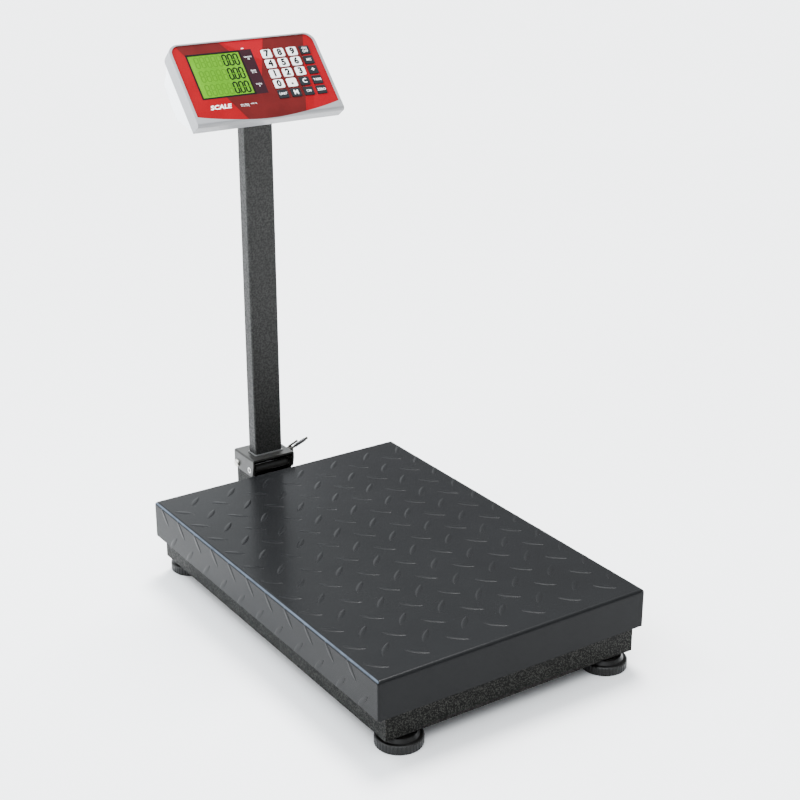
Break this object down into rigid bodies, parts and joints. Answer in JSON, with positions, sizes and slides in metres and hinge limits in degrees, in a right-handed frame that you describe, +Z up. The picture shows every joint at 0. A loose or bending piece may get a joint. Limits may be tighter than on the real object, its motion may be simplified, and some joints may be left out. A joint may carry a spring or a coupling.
{
  "type": "platform scale",
  "caption": "Platform shipping scale: a chequered steel deck on a levelled frame, with a folding column that carries a tilting indicator with a display and a keypad.",
  "frame": {"origin": "on the floor, under the middle of the whole scale's bounding box", "axes": "+X to the user's right, +Y from the deck's front edge towards the column, +Z up"},
  "size_m": [0.45, 0.7546, 0.8143],
  "materials": {
    "deck_paint": "satin dark slate paint over steel chequer plate",
    "hammertone": "black and grey hammertone paint",
    "bracket_paint": "satin grey paint",
    "foot_rubber": "matt black",
    "rubber": "matt black",
    "alloy": "anodised",
    "bright_steel": "machined",
    "dark_steel": "blackened",
    "zinc": "zinc plated",
    "shell_plastic": "light grey satin",
    "overlay_red": "printed film",
    "lcd_green": "lit green display",
    "key_white": "satin",
    "key_dark": "satin",
    "board": "solder mask",
    "battery_case": "moulded",
    "knob_plastic": "moulded black",
    "switch_red": "moulded"
  },
  "bodies": {
    "base": {"base_frame": "hammertone", "load_cell": "alloy", "lower_spacer": "bright_steel", "lower_bolts": "zinc", "stop_screws": "zinc", "hinge_stand": "hammertone", "pivot_sleeve": "bracket_paint", "pivot_pin": "bright_steel"},
    "deck": {"deck_plate": "deck_paint", "deck_frame": "hammertone", "deck_buffers": "rubber", "upper_spacer": "bright_steel", "upper_bolts": "zinc"},
    "column": {"column_bracket": "bracket_paint", "column_tube": "hammertone", "column_cap": "hammertone", "lock_bush": "bright_steel", "stop_bolt": "zinc"},
    "lock": {"lock_pin": "dark_steel"},
    "head": {"head_yoke": "bracket_paint", "head_screws": "zinc", "rear_shell": "shell_plastic", "front_shell": "shell_plastic", "face_overlay": "overlay_red", "lcd_panel": "lcd_green", "main_board": "board", "battery": "battery_case", "battery_door": "shell_plastic", "power_jack": "knob_plastic", "switch_housing": "knob_plastic"},
    "tilt_knob": {"tilt_knob": "knob_plastic"},
    "power_switch": {"power_switch": "switch_red"},
    "foot_stud_front_left": {"foot_stud_front_left": "zinc"},
    "foot_pad_front_left": {"foot_pad_front_left": "foot_rubber"},
    "foot_stud_front_right": {"foot_stud_front_right": "zinc"},
    "foot_pad_front_right": {"foot_pad_front_right": "foot_rubber"},
    "foot_stud_rear_left": {"foot_stud_rear_left": "zinc"},
    "foot_pad_rear_left": {"foot_pad_rear_left": "foot_rubber"},
    "foot_stud_rear_right": {"foot_stud_rear_right": "zinc"},
    "foot_pad_rear_right": {"foot_pad_rear_right": "foot_rubber"},
    "key_7": {"key_7": "key_white"},
    "key_8": {"key_8": "key_white"},
    "key_9": {"key_9": "key_white"},
    "key_r1": {"key_r1": "key_dark"},
    "key_4": {"key_4": "key_white"},
    "key_5": {"key_5": "key_white"},
    "key_6": {"key_6": "key_white"},
    "key_r2": {"key_r2": "key_dark"},
    "key_1": {"key_1": "key_white"},
    "key_2": {"key_2": "key_white"},
    "key_3": {"key_3": "key_white"},
    "key_r3": {"key_r3": "key_dark"},
    "key_0": {"key_0": "key_white"},
    "key_point": {"key_point": "key_white"},
    "key_clear": {"key_clear": "key_dark"},
    "key_r4": {"key_r4": "key_dark"},
    "key_f1": {"key_f1": "key_dark"},
    "key_f2": {"key_f2": "key_dark"},
    "key_f3": {"key_f3": "key_dark"},
    "key_f4": {"key_f4": "key_dark"}
  },
  "joints": [
    {"name": "deck_slide", "type": "slide", "parent": "base", "child": "deck", "axis": [0, 0, 1], "range_m": [-0.001, 0], "stiffness_N_per_m": 600000, "springref_m": 0.0004},
    {"name": "column_fold", "type": "hinge", "parent": "base", "child": "column", "pos_m": [0, 0.3085, 0.117], "axis": [1, 0, 0], "range_deg": [0, 84]},
    {"name": "lock_slide", "type": "slide", "parent": "column", "child": "lock", "axis": [1, 0, 0], "range_m": [-0.008, 0]},
    {"name": "head_tilt", "type": "hinge", "parent": "column", "child": "head", "pos_m": [0, 0.3219, 0.699], "axis": [1, 0, 0], "range_deg": [-20, 25]},
    {"name": "tilt_knob_turn", "type": "hinge", "parent": "head", "child": "tilt_knob", "pos_m": [0, 0.3219, 0.699], "axis": [1, 0, 0], "range_deg": [-180, 180]},
    {"name": "power_switch_rock", "type": "hinge", "parent": "head", "child": "power_switch", "pos_m": [0.121, 0.34754, 0.74292], "axis": [0, -0.7368, 0.6761], "range_deg": [0, 16]},
    {"name": "key_7_press", "type": "slide", "parent": "head", "child": "key_7", "axis": [0, 0.7368, -0.6761], "range_m": [0, 0.0007], "stiffness_N_per_m": 700, "springref_m": -0.0003},
    {"name": "key_8_press", "type": "slide", "parent": "head", "child": "key_8", "axis": [0, 0.7368, -0.6761], "range_m": [0, 0.0007], "stiffness_N_per_m": 700, "springref_m": -0.0003},
    {"name": "key_9_press", "type": "slide", "parent": "head", "child": "key_9", "axis": [0, 0.7368, -0.6761], "range_m": [0, 0.0007], "stiffness_N_per_m": 700, "springref_m": -0.0003},
    {"name": "key_r1_press", "type": "slide", "parent": "head", "child": "key_r1", "axis": [0, 0.7368, -0.6761], "range_m": [0, 0.0007], "stiffness_N_per_m": 700, "springref_m": -0.0003},
    {"name": "key_4_press", "type": "slide", "parent": "head", "child": "key_4", "axis": [0, 0.7368, -0.6761], "range_m": [0, 0.0007], "stiffness_N_per_m": 700, "springref_m": -0.0003},
    {"name": "key_5_press", "type": "slide", "parent": "head", "child": "key_5", "axis": [0, 0.7368, -0.6761], "range_m": [0, 0.0007], "stiffness_N_per_m": 700, "springref_m": -0.0003},
    {"name": "key_6_press", "type": "slide", "parent": "head", "child": "key_6", "axis": [0, 0.7368, -0.6761], "range_m": [0, 0.0007], "stiffness_N_per_m": 700, "springref_m": -0.0003},
    {"name": "key_r2_press", "type": "slide", "parent": "head", "child": "key_r2", "axis": [0, 0.7368, -0.6761], "range_m": [0, 0.0007], "stiffness_N_per_m": 700, "springref_m": -0.0003},
    {"name": "key_1_press", "type": "slide", "parent": "head", "child": "key_1", "axis": [0, 0.7368, -0.6761], "range_m": [0, 0.0007], "stiffness_N_per_m": 700, "springref_m": -0.0003},
    {"name": "key_2_press", "type": "slide", "parent": "head", "child": "key_2", "axis": [0, 0.7368, -0.6761], "range_m": [0, 0.0007], "stiffness_N_per_m": 700, "springref_m": -0.0003},
    {"name": "key_3_press", "type": "slide", "parent": "head", "child": "key_3", "axis": [0, 0.7368, -0.6761], "range_m": [0, 0.0007], "stiffness_N_per_m": 700, "springref_m": -0.0003},
    {"name": "key_r3_press", "type": "slide", "parent": "head", "child": "key_r3", "axis": [0, 0.7368, -0.6761], "range_m": [0, 0.0007], "stiffness_N_per_m": 700, "springref_m": -0.0003},
    {"name": "key_0_press", "type": "slide", "parent": "head", "child": "key_0", "axis": [0, 0.7368, -0.6761], "range_m": [0, 0.0007], "stiffness_N_per_m": 700, "springref_m": -0.0003},
    {"name": "key_point_press", "type": "slide", "parent": "head", "child": "key_point", "axis": [0, 0.7368, -0.6761], "range_m": [0, 0.0007], "stiffness_N_per_m": 700, "springref_m": -0.0003},
    {"name": "key_clear_press", "type": "slide", "parent": "head", "child": "key_clear", "axis": [0, 0.7368, -0.6761], "range_m": [0, 0.0007], "stiffness_N_per_m": 700, "springref_m": -0.0003},
    {"name": "key_r4_press", "type": "slide", "parent": "head", "child": "key_r4", "axis": [0, 0.7368, -0.6761], "range_m": [0, 0.0007], "stiffness_N_per_m": 700, "springref_m": -0.0003},
    {"name": "key_f1_press", "type": "slide", "parent": "head", "child": "key_f1", "axis": [0, 0.7368, -0.6761], "range_m": [0, 0.0007], "stiffness_N_per_m": 700, "springref_m": -0.0003},
    {"name": "key_f2_press", "type": "slide", "parent": "head", "child": "key_f2", "axis": [0, 0.7368, -0.6761], "range_m": [0, 0.0007], "stiffness_N_per_m": 700, "springref_m": -0.0003},
    {"name": "key_f3_press", "type": "slide", "parent": "head", "child": "key_f3", "axis": [0, 0.7368, -0.6761], "range_m": [0, 0.0007], "stiffness_N_per_m": 700, "springref_m": -0.0003},
    {"name": "key_f4_press", "type": "slide", "parent": "head", "child": "key_f4", "axis": [0, 0.7368, -0.6761], "range_m": [0, 0.0007], "stiffness_N_per_m": 700, "springref_m": -0.0003},
    {"name": "foot_front_left_rise", "type": "slide", "parent": "base", "child": "foot_stud_front_left", "axis": [0, 0, 1], "range_m": [-0.008, 0]},
    {"name": "foot_front_left_turn", "type": "hinge", "parent": "foot_stud_front_left", "child": "foot_pad_front_left", "pos_m": [-0.1765, -0.345, 0], "axis": [0, 0, 1], "range_deg": [-1645.7, 0]},
    {"name": "foot_front_right_rise", "type": "slide", "parent": "base", "child": "foot_stud_front_right", "axis": [0, 0, 1], "range_m": [-0.008, 0]},
    {"name": "foot_front_right_turn", "type": "hinge", "parent": "foot_stud_front_right", "child": "foot_pad_front_right", "pos_m": [0.1765, -0.345, 0], "axis": [0, 0, 1], "range_deg": [-1645.7, 0]},
    {"name": "foot_rear_left_rise", "type": "slide", "parent": "base", "child": "foot_stud_rear_left", "axis": [0, 0, 1], "range_m": [-0.008, 0]},
    {"name": "foot_rear_left_turn", "type": "hinge", "parent": "foot_stud_rear_left", "child": "foot_pad_rear_left", "pos_m": [-0.1765, 0.256, 0], "axis": [0, 0, 1], "range_deg": [-1645.7, 0]},
    {"name": "foot_rear_right_rise", "type": "slide", "parent": "base", "child": "foot_stud_rear_right", "axis": [0, 0, 1], "range_m": [-0.008, 0]},
    {"name": "foot_rear_right_turn", "type": "hinge", "parent": "foot_stud_rear_right", "child": "foot_pad_rear_right", "pos_m": [0.1765, 0.256, 0], "axis": [0, 0, 1], "range_deg": [-1645.7, 0]}
  ],
  "couplings": [
    {"joint": "foot_front_left_rise", "follows": "foot_front_left_turn", "m_per_rad": 0.00027852},
    {"joint": "foot_front_right_rise", "follows": "foot_front_right_turn", "m_per_rad": 0.00027852},
    {"joint": "foot_rear_left_rise", "follows": "foot_rear_left_turn", "m_per_rad": 0.00027852},
    {"joint": "foot_rear_right_rise", "follows": "foot_rear_right_turn", "m_per_rad": 0.00027852}
  ]
}
